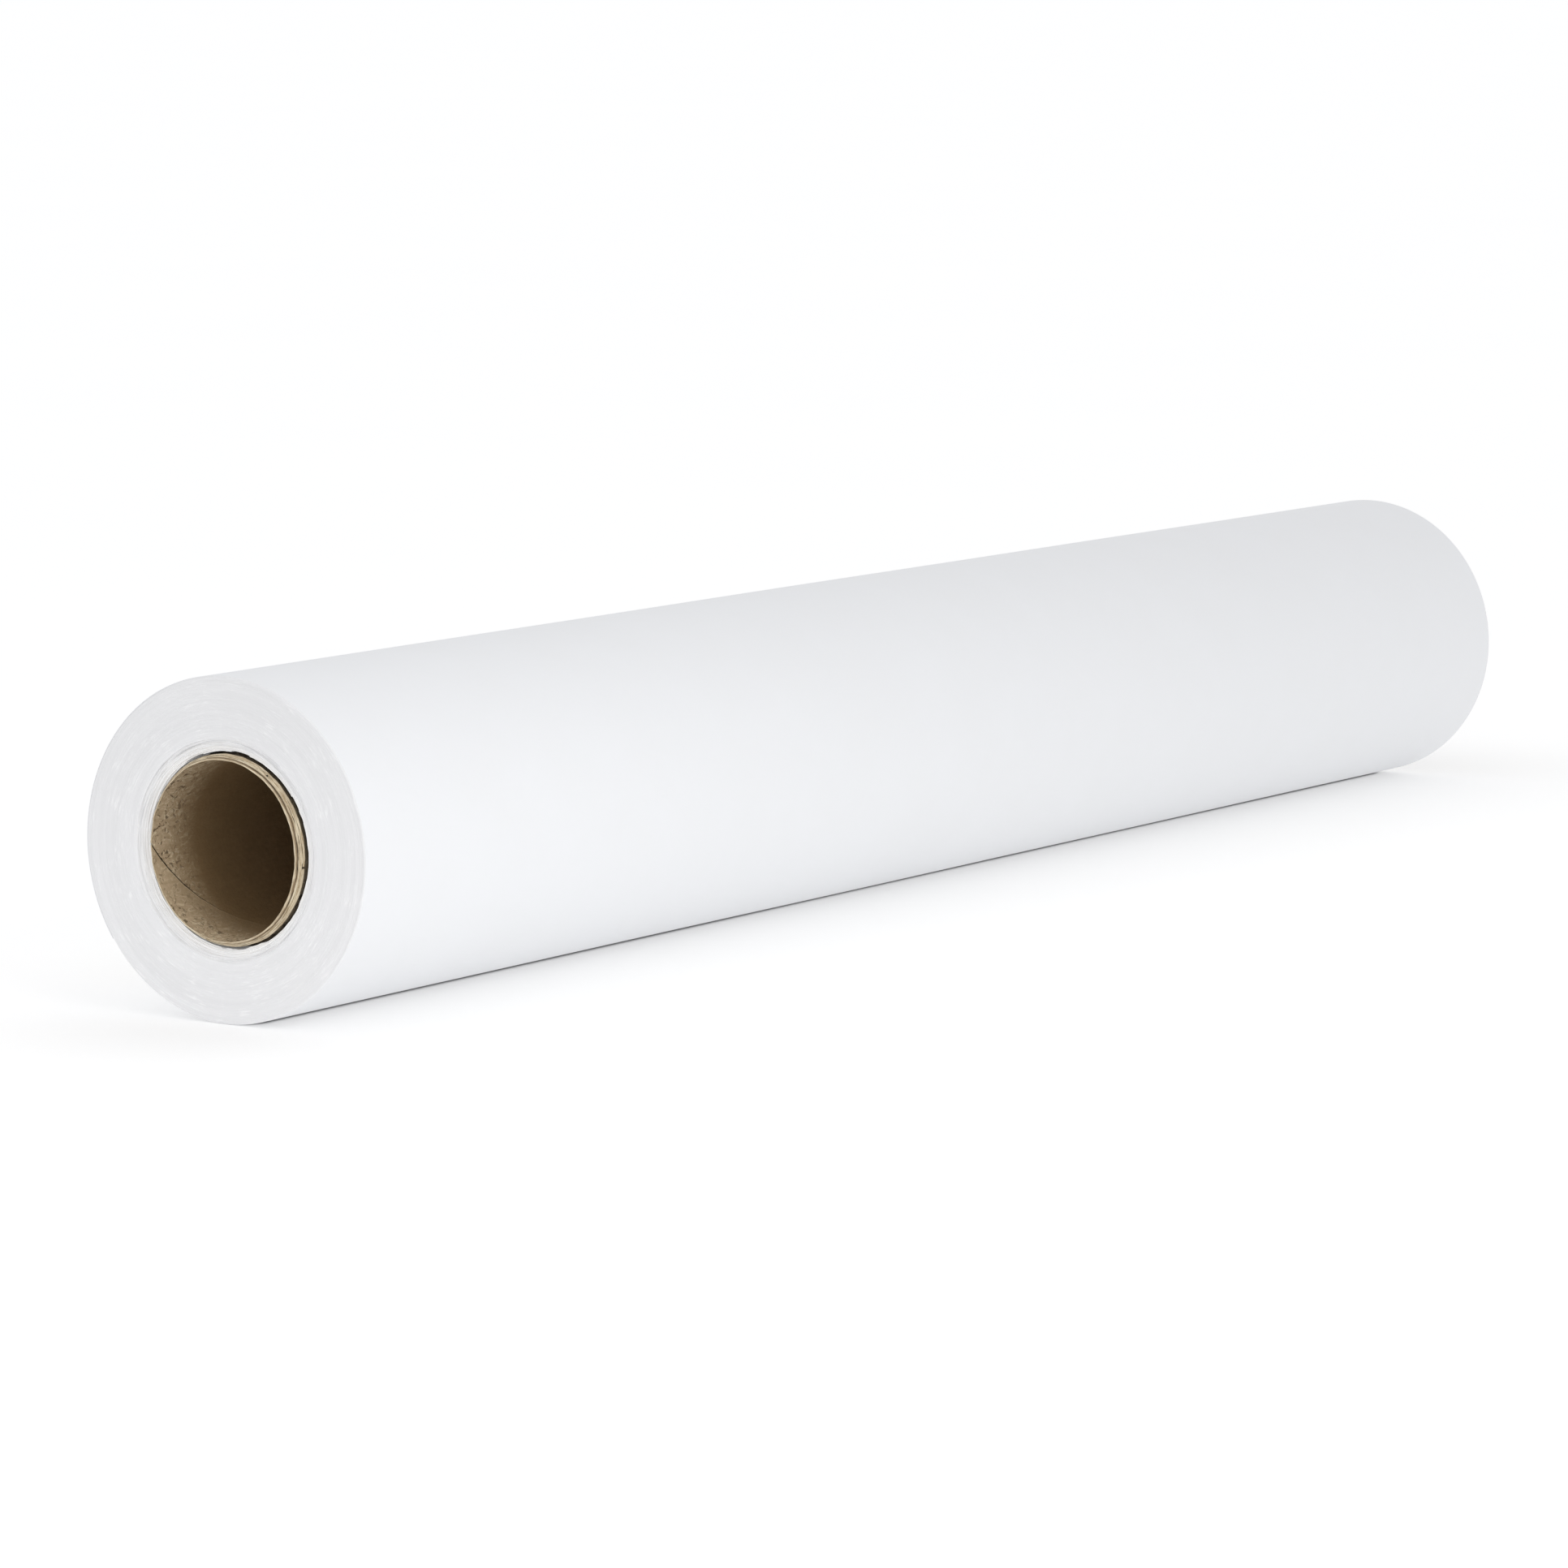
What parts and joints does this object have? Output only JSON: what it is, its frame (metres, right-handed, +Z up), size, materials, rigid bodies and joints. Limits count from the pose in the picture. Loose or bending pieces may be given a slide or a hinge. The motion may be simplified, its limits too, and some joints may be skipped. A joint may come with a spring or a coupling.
{
  "type": "backdrop paper roll",
  "caption": "Long roll of seamless white background paper wound on a spiral-wound kraft tube, with the free end of the web taped down along the roll.",
  "frame": {"origin": "on the roll's axis, halfway between its two ends", "axes": "+X along the core's bore towards the far end, +Z up, +Y towards the side where the free end of the web hangs"},
  "size_m": [0.66, 0.097, 0.0963],
  "materials": {
    "background_paper": "matte uncoated white paper",
    "kraft_board": "matte kraft board",
    "masking_tape": "satin creped paper masking tape"
  },
  "bodies": {
    "roll": {"core_inner_liner": "kraft_board", "core_ply_2": "kraft_board", "core_ply_3": "kraft_board", "core_ply_4": "kraft_board", "core_outer_ply": "kraft_board", "core_start_tape_near": "masking_tape", "core_start_tape_centre": "masking_tape", "core_start_tape_far": "masking_tape", "wound_paper": "background_paper", "outer_turns": "background_paper"},
    "leader": {"leader_flap": "background_paper"},
    "tape_near": {"closing_tape_near": "masking_tape"},
    "tape_centre": {"closing_tape_centre": "masking_tape"},
    "tape_far": {"closing_tape_far": "masking_tape"}
  },
  "joints": [
    {"name": "leader_lift", "type": "hinge", "parent": "roll", "child": "leader", "pos_m": [0, 0.02765, 0.03948], "axis": [1, 0, 0], "range_deg": [0, 45], "stiffness_Nm_per_rad": 0.004},
    {"name": "tape_near_peel", "type": "hinge", "parent": "leader", "child": "tape_near", "pos_m": [-0.25, 0.0486, 0.00031], "axis": [1, 0, 0], "range_deg": [0, 90]},
    {"name": "tape_centre_peel", "type": "hinge", "parent": "leader", "child": "tape_centre", "pos_m": [0, 0.0486, 0.00031], "axis": [1, 0, 0], "range_deg": [0, 90]},
    {"name": "tape_far_peel", "type": "hinge", "parent": "leader", "child": "tape_far", "pos_m": [0.25, 0.0486, 0.00031], "axis": [1, 0, 0], "range_deg": [0, 90]}
  ]
}
